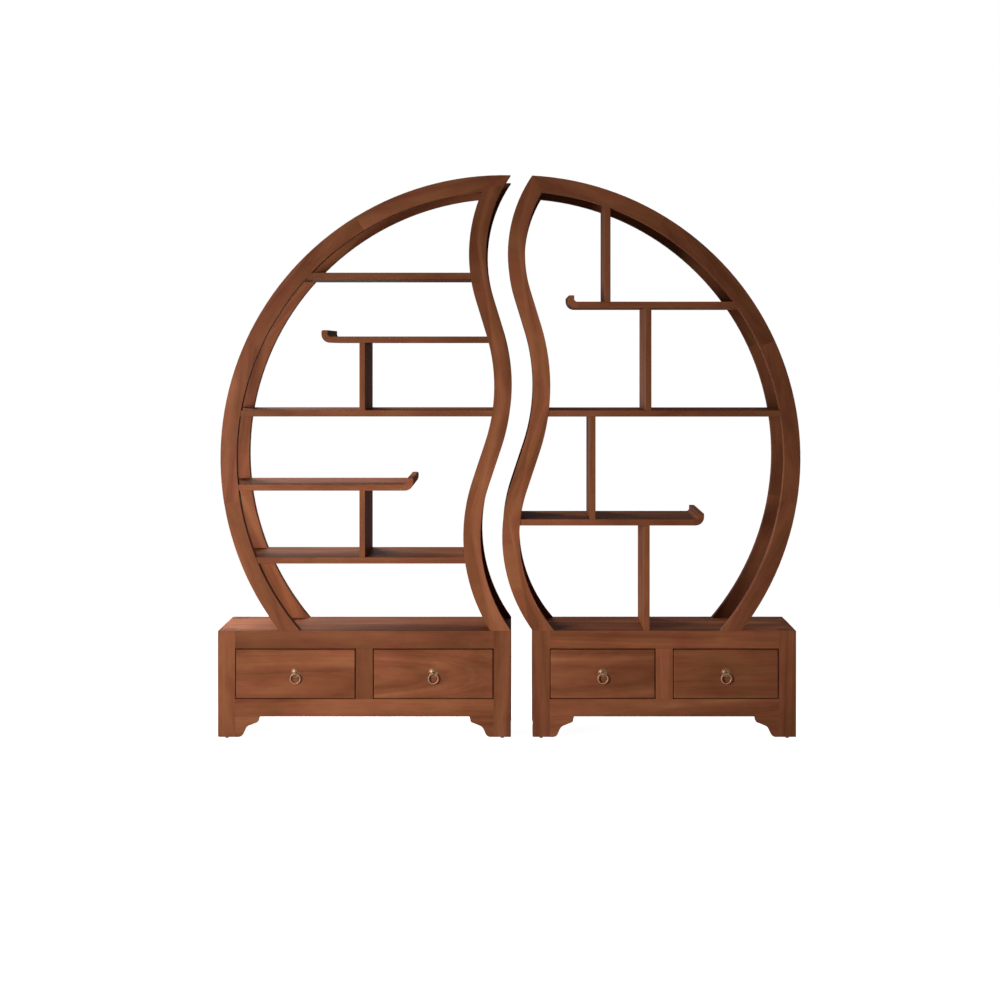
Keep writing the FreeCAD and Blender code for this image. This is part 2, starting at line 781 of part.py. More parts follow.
shelf("left_shelf_1", left_half, "left_shelf_one", left_space, left_members)
shelf("left_shelf_2", left_half, "left_shelf_two", left_space, left_members, "left_scroll_two", -1)
shelf("left_shelf_3", left_half, "left_shelf_three", left_space, left_members)
shelf("left_shelf_4", left_half, "left_shelf_four", left_space, left_members, "left_scroll_four", 1)
shelf("left_shelf_5", left_half, "left_shelf_five", left_space, left_members)
divider("left_divider_1", left_half, "left_divider_place", "left_shelf_three", "left_shelf_two")
divider("left_divider_2", left_half, "left_divider_place", "left_shelf_five", "left_shelf_four")

shelf("right_shelf_1", right_half, "right_shelf_one", right_space, right_members, "right_scroll_one", -1)
shelf("right_shelf_2", right_half, "right_shelf_two", right_space, right_members)
shelf("right_shelf_3", right_half, "right_shelf_three", right_space, right_members,
      "right_scroll_three", 1)
top_blank = divider_blank(
    "right_divider_1_blank", right_half, "right_divider_one", "base_height + right_shelf_one",
    CENTRE_RISE + " + arc_radius - right_shelf_one",
)
node(fitted("right_divider_1", top_blank, right_space, right_members))
divider("right_divider_2", right_half, "right_divider_two", "right_shelf_two", "right_shelf_one")
divider("right_divider_3", right_half, "right_divider_three", "right_shelf_three", "right_shelf_two")
node(divider_blank(
    "right_divider_4", right_half, "right_divider_four", "base_height",
    "right_shelf_three - shelf_thickness",
))

drawer_count = 0
for side, width_name in ((LEFT_SIDE, "left_base_width"), (RIGHT_SIDE, "right_base_width")):
    opening = f"0.5 * {width_name} - leg_width - 0.5 * stile_width"
    second = f"{side} + 0.5 * {width_name} + 0.5 * stile_width"
    for start in (side + " + leg_width", second):
        drawer_count += 1
        build_drawer(drawer_count, start, opening)

document.recompute()
for thing in document.Objects:
    if {"Invalid", "Error"} & set(thing.State):
        raise RuntimeError(f"{thing.Label} failed: {thing.State}")
for thing in nodes:
    if thing.Shape.isNull() or not thing.Shape.isValid():
        raise RuntimeError(f"{thing.Label} has no valid shape")

os.makedirs("parts", exist_ok=True)
for thing in nodes:
    thing.Shape.exportStep(os.path.join("parts", thing.Label + ".step"))
print(len(nodes), "nodes written")
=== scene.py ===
import json
import math
import random

import bmesh
import bpy
from mathutils import Matrix, Vector
from mathutils.bvhtree import BVHTree

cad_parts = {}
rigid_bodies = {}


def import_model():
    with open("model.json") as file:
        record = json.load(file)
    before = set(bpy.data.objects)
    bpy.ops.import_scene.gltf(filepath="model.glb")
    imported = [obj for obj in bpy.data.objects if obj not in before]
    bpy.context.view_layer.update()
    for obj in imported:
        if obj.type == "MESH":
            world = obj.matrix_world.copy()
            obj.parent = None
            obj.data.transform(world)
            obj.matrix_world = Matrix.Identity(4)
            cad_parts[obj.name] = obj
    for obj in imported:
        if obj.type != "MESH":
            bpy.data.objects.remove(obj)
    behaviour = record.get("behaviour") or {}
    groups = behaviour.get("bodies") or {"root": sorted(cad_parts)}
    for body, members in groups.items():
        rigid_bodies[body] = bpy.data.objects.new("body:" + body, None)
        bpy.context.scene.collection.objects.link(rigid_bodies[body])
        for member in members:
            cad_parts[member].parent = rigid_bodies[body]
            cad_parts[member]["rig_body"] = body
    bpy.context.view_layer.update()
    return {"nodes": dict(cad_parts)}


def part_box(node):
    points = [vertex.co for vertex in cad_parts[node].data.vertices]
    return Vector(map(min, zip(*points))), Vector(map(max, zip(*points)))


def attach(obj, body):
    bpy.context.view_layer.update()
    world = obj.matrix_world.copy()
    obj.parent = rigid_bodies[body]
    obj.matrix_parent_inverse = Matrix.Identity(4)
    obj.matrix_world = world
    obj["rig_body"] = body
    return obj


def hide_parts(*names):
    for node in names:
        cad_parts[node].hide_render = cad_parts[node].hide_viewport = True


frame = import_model()

# A pair of half-moon book cabinets in stained teak. Metres, +X right, -Y front, +Z up.
# Every board keeps its own grain: the wood is one solid pattern, read in each board's place in its tree.

MM = 0.001
NODES = frame["nodes"]
X, Y, Z = Vector((1, 0, 0)), Vector((0, 1, 0)), Vector((0, 0, 1))
SMOOTH_UNDER = math.radians(36)


# Nodes and materials

def add(tree, kind, links=None, **settings):
    """Adds a node. A link's value is another node's output, or the number that its socket holds."""
    node = tree.nodes.new(kind)
    for name, value in settings.items():
        setattr(node, name, value)
    for socket, source in (links or {}).items():
        if isinstance(source, bpy.types.NodeSocket):
            tree.links.new(source, node.inputs[socket])
        else:
            node.inputs[socket].default_value = source
    return node


def linear(hex_colour):
    """An sRGB hex colour as linear red, green, blue and 1."""
    parts = [int(hex_colour[i:i + 2], 16) / 255 for i in (1, 3, 5)]
    return [p / 12.92 if p <= 0.04045 else ((p + 0.055) / 1.055) ** 2.4 for p in parts] + [1.0]


def new_material(name):
    """An empty material, its node tree and its output."""
    material = bpy.data.materials.new(name)
    material.use_nodes = True
    material.node_tree.nodes.clear()
    return material, material.node_tree, add(material.node_tree, "ShaderNodeOutputMaterial")


def fill_ramp(ramp, stops):
    """Sets a ramp's stops from pairs of a place and a colour."""
    elements = ramp.color_ramp.elements
    while len(elements) > 1:
        elements.remove(elements[-1])
    elements[0].position, elements[0].color = stops[0][0], linear(stops[0][1])
    for place, colour in stops[1:]:
        elements.new(place).color = linear(colour)


# What shows in teak: its width across the grain in metres, how many widths long it is, the detail of
# its noise, and a number that sets it apart from the others
WANDER = (70 * MM, 5.0, 2.0, 3.0)
BANDS = (9 * MM, 26.0, 2.0, 11.0)
FIBRES = (2.2 * MM, 40.0, 2.0, 23.0)
# Teak's pores are a third of a millimetre wide, drawn three times as wide so that they show at all
PORES = (1 * MM, 14.0, 1.0, 31.0)
CLOUDS = (110 * MM, 3.2, 1.5, 47.0)
PATCHES = (30 * MM, 2.4, 2.5, 59.0)
REDDER = (30 * MM, 4.0, 1.5, 71.0)
# Growth rings, and runs of good and poor years, which show as broad nested arches: width and detail
RINGS = (7 * MM, 2.5)
SPELLS = (24 * MM, 0.5)
# How far the rings wander, and the numbers that turn a board's seed into its own stretch of noise
WARP = 12 * MM
SEED_STEP, RING_STEP = 60.0, 37.0
# How much darker pores and end grain are, how far the stain's hue drifts, and how uneven its sheen is
PORE_SHADE, END_SHADE = 0.10, 0.35
HUES = (0.4945, 0.5065)
SHEEN = (-0.06, 0.08)
# How far a pore sinks, as a share of the fibres' height, and the height of the relief
PORE_SINK, RELIEF = 0.7, 0.3 * MM


def teak(name, tones, shares, roughness, lacquer):
    """Plain-sawn teak, from its place in the tree: x runs along the grain, y and z across it.

    shares says how much rings, spells of years, bands, fibres, clouds and patches add to the depth
    of colour.
    """
    material, tree, output = new_material(name)
    place = add(tree, "ShaderNodeAttribute", attribute_name="grain").outputs["Vector"]
    traits = add(tree, "ShaderNodeAttribute", attribute_name="board").outputs["Vector"]
    tone, end_grain, seed = add(tree, "ShaderNodeSeparateXYZ", {0: traits}).outputs

    def noise(width, stretch, detail, offset):
        """Noise that is one width wide across the grain and stretch widths long."""
        across = 1 / width
        spread = add(tree, "ShaderNodeVectorMath", {0: place, 1: (across / stretch, across, across)},
                     operation="MULTIPLY").outputs[0]
        turn = add(tree, "ShaderNodeMath", {0: seed, 1: SEED_STEP, 2: offset}, operation="MULTIPLY_ADD")
        return add(tree, "ShaderNodeTexNoise",
                   {"Vector": spread, "W": turn.outputs[0], "Scale": 1.0, "Detail": detail,
                    "Roughness": 0.55}, noise_dimensions="4D")

    # The rings wander a little, so the warp is slow along the grain and quicker across it
    wander = noise(*WANDER).outputs["Color"]
    wander = add(tree, "ShaderNodeVectorMath", {0: wander, 1: (-0.5, -0.5, -0.5)}, operation="ADD")
    wander = add(tree, "ShaderNodeVectorMath", {0: wander.outputs[0], 1: (0.0, 2 * WARP, 2 * WARP)},
                 operation="MULTIPLY")
    tree_place = add(tree, "ShaderNodeVectorMath", {0: place, 1: wander.outputs[0]}, operation="ADD")
    across = add(tree, "ShaderNodeVectorMath", {0: tree_place.outputs[0], 1: (0.0, 1.0, 1.0)},
                 operation="MULTIPLY")
    radius = add(tree, "ShaderNodeVectorMath", {0: across.outputs[0]}, operation="LENGTH").outputs["Value"]
    turn = add(tree, "ShaderNodeMath", {0: seed, 1: RING_STEP}, operation="MULTIPLY").outputs[0]

    def growth(width, detail):
        """Light and dark shells round the tree's middle."""
        ring = add(tree, "ShaderNodeMath", {0: radius, 1: 1 / width, 2: turn}, operation="MULTIPLY_ADD")
        return add(tree, "ShaderNodeTexNoise", {"W": ring.outputs[0], "Scale": 1.0, "Detail": detail,
                                                "Roughness": 0.6}, noise_dimensions="1D").outputs["Fac"]

    rings, spells = growth(*RINGS), growth(*SPELLS)
    bands, fibres, pores, clouds, patches = (
        noise(*pattern).outputs["Fac"] for pattern in (BANDS, FIBRES, PORES, CLOUDS, PATCHES)
    )

    depth = 0.5
    for pattern, share in zip((rings, spells, bands, fibres, clouds, patches), shares):
        middle = add(tree, "ShaderNodeMath", {0: pattern, 1: 0.5}, operation="SUBTRACT").outputs[0]
        depth = add(tree, "ShaderNodeMath", {0: middle, 1: share, 2: depth},
                    operation="MULTIPLY_ADD").outputs[0]
    wood = add(tree, "ShaderNodeValToRGB", {0: depth})
    fill_ramp(wood, tones)

    pits = add(tree, "ShaderNodeMapRange", {"Value": pores, "From Min": 0.6, "From Max": 0.72})
    shade = add(tree, "ShaderNodeMath", {0: pits.outputs[0], 1: -PORE_SHADE, 2: 1.0},
                operation="MULTIPLY_ADD")
    shade = add(tree, "ShaderNodeMath", {0: shade.outputs[0], 1: tone}, operation="MULTIPLY")
    # End grain drinks more stain
    ends = add(tree, "ShaderNodeMath", {0: end_grain, 1: -END_SHADE, 2: 1.0}, operation="MULTIPLY_ADD")
    shade = add(tree, "ShaderNodeMath", {0: shade.outputs[0], 1: ends.outputs[0]}, operation="MULTIPLY")
    # The stain took redder in some patches and browner in others
    redder = noise(*REDDER).outputs["Fac"]
    hue = add(tree, "ShaderNodeMapRange", {"Value": redder, "From Min": 0.3, "From Max": 0.7,
                                           "To Min": HUES[0], "To Max": HUES[1]})
    colour = add(tree, "ShaderNodeHueSaturation", {"Color": wood.outputs[0], "Hue": hue.outputs[0],
                                                   "Value": shade.outputs[0]})

    worn = add(tree, "ShaderNodeMapRange", {"Value": clouds, "To Min": roughness + SHEEN[0],
                                            "To Max": roughness + SHEEN[1]})
    relief = add(tree, "ShaderNodeMath", {0: pits.outputs[0], 1: -PORE_SINK, 2: fibres},
                 operation="MULTIPLY_ADD")
    bump = add(tree, "ShaderNodeBump", {"Strength": 0.25, "Distance": RELIEF, "Height": relief.outputs[0]})
    shader = add(tree, "ShaderNodeBsdfPrincipled",
                 {"Base Color": colour.outputs[0], "Roughness": worn.outputs[0], "Normal": bump.outputs[0],
                  "IOR": 1.5, "Specular IOR Level": 0.0, "Coat Weight": lacquer,
                  "Coat Roughness": 0.45, "Coat IOR": 1.5})
    tree.links.new(shader.outputs[0], output.inputs["Surface"])
    return material


# Stained teak under a satin lacquer: reddish brown, quiet figure, a soft sheen that shows on the tops.
# Its shares are those of rings, spells of years, bands, fibres, clouds and patches.
stained_teak = teak(
    "stained_teak_satin_lacquer",
    ((0.0, "#522B1A"), (0.3, "#704029"), (0.5, "#824C32"), (0.7, "#91583B"), (1.0, "#A86E4C")),
    (0.22, 0.42, 0.22, 0.16, 0.85, 0.34), 0.5, 0.08,
)
# The same wood planed and left bare inside the base: paler, yellower, dry to the eye
plain_teak = teak(
    "planed_teak_bare",
    ((0.0, "#6B4427"), (0.35, "#94683F"), (0.6, "#AD7F50"), (1.0, "#C99C6A")),
    (0.5, 0.2, 0.3, 0.2, 0.3, 0.1), 0.62, 0.0,
)


# Cast brass: patches of patina, the grain of the cast skin, and how much edges that fingers rub lighten
PATINA_WIDTH, SKIN_WIDTH = 3 * MM, 0.6 * MM
RUBBED = 0.55
SCUFF_WIDTH = 1.2 * MM
# The height of the relief in cast or moulded faces
CAST_RELIEF = 0.1 * MM


def cast_brass(name, patina_light_and_shade):
    """Cast brass in the given colours, which hold its patina and its painted light and shade, and brighter
    on the edges that fingers rub.
    """
    material, tree, output = new_material(name)
    place = add(tree, "ShaderNodeTexCoord").outputs["Object"]
    patches = add(tree, "ShaderNodeTexNoise", {"Vector": place, "Scale": 1 / PATINA_WIDTH, "Detail": 3.0})
    skin = add(tree, "ShaderNodeTexNoise", {"Vector": place, "Scale": 1 / SKIN_WIDTH, "Detail": 1.0})
    wear = add(tree, "ShaderNodeNewGeometry").outputs["Pointiness"]
    wear = add(tree, "ShaderNodeMapRange", {"Value": wear, "From Min": 0.47, "From Max": 0.56}).outputs[0]
    mixed = add(tree, "ShaderNodeMath", {0: wear, 1: RUBBED, 2: patches.outputs["Fac"]},
                operation="MULTIPLY_ADD")
    colour = add(tree, "ShaderNodeValToRGB", {0: mixed.outputs[0]})
    fill_ramp(colour, patina_light_and_shade)
    rough = add(tree, "ShaderNodeMapRange", {"Value": mixed.outputs[0], "From Min": 0.3, "From Max": 1.0,
                                             "To Min": 0.5, "To Max": 0.38})
    bump = add(tree, "ShaderNodeBump", {"Strength": 0.2, "Distance": CAST_RELIEF,
                                        "Height": skin.outputs["Fac"]})
    shader = add(tree, "ShaderNodeBsdfPrincipled",
                 {"Base Color": colour.outputs[0], "Metallic": 1.0, "Roughness": rough.outputs[0],
                  "Normal": bump.outputs[0]})
    tree.links.new(shader.outputs[0], output.inputs["Surface"])
    return material


def make_nylon():
    """Moulded nylon, near black, dull with fine scuffs."""
    material, tree, output = new_material("nylon_moulded_dark")
    place = add(tree, "ShaderNodeTexCoord").outputs["Object"]
    scuffs = add(tree, "ShaderNodeTexNoise", {"Vector": place, "Scale": 1 / SCUFF_WIDTH, "Detail": 3.0})
    colour = add(tree, "ShaderNodeValToRGB", {0: scuffs.outputs["Fac"]})
    fill_ramp(colour, ((0.3, "#1E1A17"), (0.75, "#3B342F")))
    bump = add(tree, "ShaderNodeBump", {"Strength": 0.15, "Distance": CAST_RELIEF,
                                        "Height": scuffs.outputs["Fac"]})
    shader = add(tree, "ShaderNodeBsdfPrincipled",
                 {"Base Color": colour.outputs[0], "Roughness": 0.5, "Normal": bump.outputs[0],
                  "IOR": 1.53})
    tree.links.new(shader.outputs[0], output.inputs["Surface"])
    return material


# Two copies of one brass: the plate's colours are darker, painted shade for the dark reflections and the
# stud's shadow on it; the ring's are lighter and pinker, painted light where it catches the lamps
shaded_plate_brass = cast_brass("antique_brass_cast_painted_shade",
                         ((0.3, "#291C10"), (0.6, "#523E2A"), (0.9, "#8C6C52")))
lit_ring_brass = cast_brass("antique_brass_cast_painted_light",
                        ((0.3, "#4C3826"), (0.6, "#765A45"), (0.9, "#A07F69")))
nylon = make_nylon()


# Meshes

def new_piece(name, mesh, material, node):
    """Links a finished piece that replaces a CAD node and rides with its body."""
    mesh.materials.clear()
    mesh.materials.append(material)
    piece = bpy.data.objects.new(name, mesh)
    bpy.context.scene.collection.objects.link(piece)
    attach(piece, NODES[node]["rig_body"])
    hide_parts(node)
    return piece


def plain_mesh(thing):
    """The object's mesh with all its modifiers in it."""
    bpy.context.view_layer.update()
    graph = bpy.context.evaluated_depsgraph_get()
    mesh = bpy.data.meshes.new_from_object(thing.evaluated_get(graph))
    thing.modifiers.clear()
    return mesh


def evened(mesh):
    """Smooth shading that keeps flat faces flat beside their rounded edges."""
    mesh.polygons.foreach_set("use_smooth", [True] * len(mesh.polygons))
    mesh.set_sharp_from_angle(angle=SMOOTH_UNDER)
    thing = bpy.data.objects.new("evening", mesh)
    bpy.context.scene.collection.objects.link(thing)
    modifier = thing.modifiers.new("weighted", "WEIGHTED_NORMAL")
    modifier.keep_sharp = True
    result = plain_mesh(thing)
    bpy.data.objects.remove(thing)
    return result


def solids(node):
    """A CAD node's closed solids, each a list of triangles of corner places."""
    mesh = NODES[node].data
    unmatched, current, found = set(), [], []
    for face in mesh.polygons:
        corners = [tuple(mesh.vertices[i].co) for i in face.vertices]
        current.append(corners)
        for start, end in zip(corners, corners[1:] + corners[:1]):
            if (end, start) in unmatched:
                unmatched.remove((end, start))
            else:
                unmatched.add((start, end))
        if not unmatched:
            found.append(current)
            current = []
    return found


class Board:
    """Where a board was in its tree, and how its wood looks.

    along and across are directions. pith is how far the tree's middle lies across and below the
    board's face, and taper how that changes along the board. What isn't given is drawn from the seed.
    """

    TONES = (0.97, 1.03)
    PITHS = ((-0.09, 0.09), (0.02, 0.09))
    TAPERS = ((-0.03, 0.03), (-0.06, 0.06))

    def __init__(self, middle, along, face, seed, tone=1.0, pith=None, taper=None):
        dice = random.Random(seed)
        self.middle = middle
        self.along = along.normalized()
        self.face = face.normalized()
        self.across = self.face.cross(self.along)
        self.seed = dice.random()
        self.tone = tone * dice.uniform(*self.TONES)
        self.pith = pith or tuple(dice.uniform(*span) for span in self.PITHS)
        self.taper = taper or tuple(dice.uniform(*span) for span in self.TAPERS)

    def place(self, spot):
        """A spot's place in the tree."""
        away = spot - self.middle
        run = away.dot(self.along)
        across = away.dot(self.across) - self.pith[0] - self.taper[0] * run
        deep = away.dot(self.face) + self.pith[1] + self.taper[1] * run
        return run, across, deep

    def traits(self, normal):
        """Tone, share of end grain, and the number that sets the board's pattern apart."""
        return self.tone, abs(normal.dot(self.along)) ** 3, self.seed


def extents(corners):
    """Lowest and highest corner of a list of places."""
    low = Vector([min(c[i] for c in corners) for i in range(3)])
    high = Vector([max(c[i] for c in corners) for i in range(3)])
    return low, high


def straight_board(corners, seed, along=None, **facts):
    """A board that lies along an axis: its longest side, unless another is given."""
    low, high = extents(corners)
    span = high - low
    order = sorted(range(3), key=lambda i: span[i])
    axes = (X, Y, Z)
    along = along or axes[order[2]]
    thin = next(axes[i] for i in order if axes[i] != along)
    face = -thin if thin == Y else thin
    return Board((low + high) / 2, along, face, seed, **facts)


def sawn_board(corners, seed, **facts):
    """A curved member sawn from a straight board, whose grain runs along its chord."""
    low, high = extents(corners)
    middle = (low + high) / 2
    xx = sum((c[0] - middle.x) ** 2 for c in corners)
    zz = sum((c[2] - middle.z) ** 2 for c in corners)
    xz = sum((c[0] - middle.x) * (c[2] - middle.z) for c in corners)
    angle = 0.5 * math.atan2(2 * xz, xx - zz)
    along = Vector((math.cos(angle), 0, math.sin(angle)))
    return Board(middle, along, -Y, seed, **facts)


class BentBoard(Board):
    """An upright member whose grain bends with it, as in wood steamed to its curve.

    Its line holds the member's middle at that many heights.
    """

    STEPS = 48

    def __init__(self, corners, seed, **facts):
        low, high = extents(corners)
        super().__init__((low + high) / 2, Z, -Y, seed, **facts)
        edges = [edge for i in range(0, len(corners), 3)
                 for edge in zip(corners[i:i + 3], corners[i + 1:i + 3] + corners[i:i + 1])]
        self.line = []
        for step in range(1, self.STEPS):
            height = low.z + (high.z - low.z) * step / self.STEPS
            crossings = [a[0] + (b[0] - a[0]) * (height - a[2]) / (b[2] - a[2])
                         for a, b in edges if (a[2] - height) * (b[2] - height) < 0]
            self.line.append((height, (min(crossings) + max(crossings)) / 2))

    def place(self, spot):
        """A spot's place in the tree, once the member is straightened."""
        last = len(self.line) - 1
        after = max(next((i for i, (height, _) in enumerate(self.line) if height > spot.z), last), 1)
        (z0, x0), (z1, x1) = self.line[after - 1], self.line[after]
        share = min(max((spot.z - z0) / (z1 - z0), 0.0), 1.0)
        return super().place(spot - X * (x0 + (x1 - x0) * share - self.middle.x))


# Every timber solid, with the triangles of all of them in one tree that finds where two touch
timber_nodes = [n for n in NODES if not n.endswith(("_plate", "_ring", "_glides"))]
timber = {n: solids(n) for n in timber_nodes}
all_corners, all_triangles, owners = [], [], []
for node_name, node_solids in timber.items():
    for index, triangles in enumerate(node_solids):
        for triangle in triangles:
            all_triangles.append(range(len(all_corners), len(all_corners) + 3))
            all_corners.extend(triangle)
            owners.append((node_name, index))
neighbours = BVHTree.FromPolygons(all_corners, all_triangles)
# How near a glued face lies, how far beside an edge it is felt for, and where along the edge
TOUCH = 0.2 * MM
SIDESTEP = 2 * MM
FEELERS = (0.15, 0.5, 0.85)
FACING = -0.9


def glued(edge, owner):
    """Whether a face beside the edge lies against another solid there."""
    for loop in edge.link_loops:
        start, end = loop.vert.co, loop.link_loop_next.vert.co
        normal = loop.face.normal
        inwards = normal.cross(end - start).normalized()
        hits = 0
        for share in FEELERS:
            spot = start.lerp(end, share) + inwards * SIDESTEP
            near = neighbours.find_nearest_range(spot, TOUCH)
            hits += any(owners[i] != owner and found.dot(normal) < FACING for _, found, i, _ in near)
        if hits > 1:
            return True
    return False


def eased_solid(triangles, owner, radius):
    """One solid as a mesh with rounded free edges."""
    bm = bmesh.new()
    corners = {}
    for triangle in triangles:
        for corner in triangle:
            if corner not in corners:
                corners[corner] = bm.verts.new(corner)
        bm.faces.new([corners[corner] for corner in triangle])
    bm.normal_update()
    bmesh.ops.dissolve_limit(bm, angle_limit=math.radians(0.25), verts=bm.verts, edges=bm.edges)
    bm.normal_update()
    free = [
        edge for edge in bm.edges
        if edge.is_manifold and edge.is_convex and edge.calc_face_angle() > SMOOTH_UNDER
        and not glued(edge, owner)
    ]
    bmesh.ops.bevel(bm, geom=free, offset=radius, segments=3, profile=0.5, affect="EDGES",
                    clamp_overlap=True)
    bm.normal_update()
    return bm


def eased(node, radius, board_of, material):
    """The whole node as one piece. board_of gives the board that a solid was cut from."""
    verts, faces, grain, board = [], [], [], []
    for index, triangles in enumerate(timber[node]):
        corners = [corner for triangle in triangles for corner in triangle]
        own = board_of(index, corners)
        bm = eased_solid(triangles, (node, index), radius)
        first = len(verts)
        bm.verts.index_update()
        verts.extend(v.co.copy() for v in bm.verts)
        for face in bm.faces:
            faces.append([first + v.index for v in face.verts])
            traits = own.traits(face.normal)
            for v in face.verts:
                grain.extend(own.place(v.co))
                board.extend(traits)
        bm.free()
    mesh = bpy.data.meshes.new(node + "_eased")
    mesh.from_pydata(verts, [], faces)
    mesh.attributes.new("grain", "FLOAT_VECTOR", "CORNER").data.foreach_set("vector", grain)
    mesh.attributes.new("board", "FLOAT_VECTOR", "CORNER").data.foreach_set("vector", board)
    return new_piece(node + "_eased", evened(mesh), material, node)


# Timber

# How round the free edges are: of the frames, the base's rails, the drawer fronts, the shelves, and inside
EDGE = 2.0 * MM
RAIL_EDGE = 1.0 * MM
DRAWER_EDGE = 3.0 * MM
SHELF_EDGE = 1.5 * MM
INSIDE_EDGE = 0.6 * MM

# How much lighter or darker than the rest the wood of a node's solids is, one share each or one for all
TONES = {
    "left_legs": (1.07, 1.0, 0.86, 1.0), "right_legs": (0.88, 1.0, 1.16, 1.0),
    "left_top_rails": (0.78, 1.0, 1.0, 1.0), "right_top_rails": (1.27, 1.0, 1.0, 1.0),
    "left_bottom_rails": (1.11, 1.0, 1.0, 1.0), "right_bottom_rails": (1.08, 1.0, 1.0, 1.0),
    "left_centre_stile": (0.76,), "right_centre_stile": (1.28,),
    "left_post_front": (0.98,), "right_post_front": (1.06,),
    # The back arcs' tones are painted light and shade: the left back arc lighter where the key light
    # reaches it, the right one darker where the posts shade it
    "left_arc_back": (1.3,), "right_arc_back": (0.73,),
    "left_shelf_1": (0.78,), "left_shelf_2": (0.9,), "left_shelf_3": (0.84,), "left_shelf_4": (1.14,),
    "left_shelf_5": (0.88,), "right_shelf_1": (1.18,), "right_shelf_2": (0.93,), "right_shelf_3": (0.88,),
    "left_divider_2": (0.74,), "right_divider_1": (0.96,), "right_divider_2": (0.82,),
    "right_divider_3": (0.85,), "right_divider_4": (0.95,),
    "drawer_1_front": (1.08,), "drawer_2_front": (1.0,), "drawer_3_front": (1.02,),
    "drawer_4_front": (1.06,),
}


def tone(node, index):
    """The tone of one of a node's solids."""
    tones = TONES.get(node, (1.0,))
    return tones[index % len(tones)]


def straight(node, edge, inside=False, **facts):
    """The node's straight boards."""
    def board_of(index, corners):
        return straight_board(corners, f"{node} {index}", tone=tone(node, index), **facts)

    material, slot = (plain_teak, "plain_teak") if inside else (stained_teak, "stained_teak")
    eased(node, edge, board_of, material)


def curved(node, kind):
    """The node's curved members, each a board of that kind."""
    def board_of(index, corners):
        return kind(corners, f"{node} {index}", tone=tone(node, index))

    eased(node, EDGE, board_of, stained_teak)


for side in ("left", "right"):
    straight(f"{side}_legs", EDGE, along=Z)
    straight(f"{side}_top_rails", RAIL_EDGE)
    straight(f"{side}_bottom_rails", RAIL_EDGE)
    straight(f"{side}_brackets", RAIL_EDGE, along=X)
    straight(f"{side}_centre_stile", RAIL_EDGE, along=Z)
    straight(f"{side}_top_board", EDGE)
    straight(f"{side}_carcass_panels", INSIDE_EDGE)
    straight(f"{side}_drawer_runners", INSIDE_EDGE, inside=True)
    for face_name in ("front", "back"):
        curved(f"{side}_arc_{face_name}", sawn_board)
        curved(f"{side}_post_{face_name}", BentBoard)
    straight(f"{side}_post_lining", INSIDE_EDGE, along=Z)

for node in sorted(NODES):
    if "_shelf_" in node:
        straight(node, SHELF_EDGE, along=X)
    elif "_divider_" in node:
        straight(node, SHELF_EDGE, along=Z)

# Drawer fronts, cut so that the figure arches: where the tree's middle lies, and how it runs off
DRAWERS = {
    1: {"pith": (-0.05, 0.09), "taper": (0.02, 0.02)},
    2: {"pith": (-0.005, 0.05), "taper": (0.02, 0.15)},
    3: {"pith": (-0.01, 0.03), "taper": (0.04, 0.05)},
    4: {"pith": (-0.12, 0.03), "taper": (0.02, 0.03)},
}
for number, facts in DRAWERS.items():
    straight(f"drawer_{number}_front", DRAWER_EDGE, along=X, **facts)
    straight(f"drawer_{number}_box", INSIDE_EDGE, inside=True)


# Pulls and glides

def closed_mesh(name, bm):
    """The mesh of finished faces, with all of them facing outwards."""
    bmesh.ops.recalc_face_normals(bm, faces=bm.faces)
    mesh = bpy.data.meshes.new(name)
    bm.to_mesh(mesh)
    bm.free()
    return mesh


def turned(name, profile, steps):
    """A solid turned round -Y from pairs of a radius and a reach, both in metres."""
    bm = bmesh.new()
    rings = []
    for radius, reach in profile:
        if radius == 0:
            rings.append([bm.verts.new((0, -reach, 0))])
            continue
        turns = [2 * math.pi * i / steps for i in range(steps)]
        rings.append([bm.verts.new((radius * math.cos(t), -reach, radius * math.sin(t))) for t in turns])
    for lower, upper in zip(rings, rings[1:]):
        for i in range(steps):
            j = (i + 1) % steps
            corners = [lower[i % len(lower)], lower[j % len(lower)], upper[j % len(upper)],
                       upper[i % len(upper)]]
            bm.faces.new(list(dict.fromkeys(corners)))
    return closed_mesh(name, bm)


def new_tree(name, inputs):
    """An empty geometry tree with the named inputs, and the outputs of the node that gives them."""
    tree = bpy.data.node_groups.new(name, "GeometryNodeTree")
    tree.interface.new_socket("Geometry", in_out="OUTPUT", socket_type="NodeSocketGeometry")
    for label, kind in inputs.items():
        tree.interface.new_socket(label, in_out="INPUT", socket_type="NodeSocket" + kind)
    return tree, add(tree, "NodeGroupInput").outputs


def ring_tree():
    """A cast ring: a round wire swept along a circle that hangs in a front view."""
    tree, given = new_tree("cast_ring", {"Ring radius": "Float", "Wire radius": "Float",
                                         "Middle": "Vector", "Metal": "Material"})
    path, wire = (
        add(tree, "GeometryNodeCurvePrimitiveCircle", {"Resolution": steps, "Radius": given[radius]})
        for steps, radius in ((96, "Ring radius"), (24, "Wire radius"))
    )
    ring = add(tree, "GeometryNodeCurveToMesh",
               {"Curve": path.outputs[0], "Profile Curve": wire.outputs[0]})
    hung = add(tree, "GeometryNodeTransform", {"Geometry": ring.outputs[0], "Translation": given["Middle"],
                                               "Rotation": (math.pi / 2, 0.0, 0.0)})
    smooth = add(tree, "GeometryNodeSetShadeSmooth", {"Geometry": hung.outputs[0]})
    real = add(tree, "GeometryNodeRealizeInstances", {"Geometry": smooth.outputs[0]})
    metal = add(tree, "GeometryNodeSetMaterial", {"Geometry": real.outputs[0], "Material": given["Metal"]})
    add(tree, "NodeGroupOutput", {0: metal.outputs[0]})
    return tree


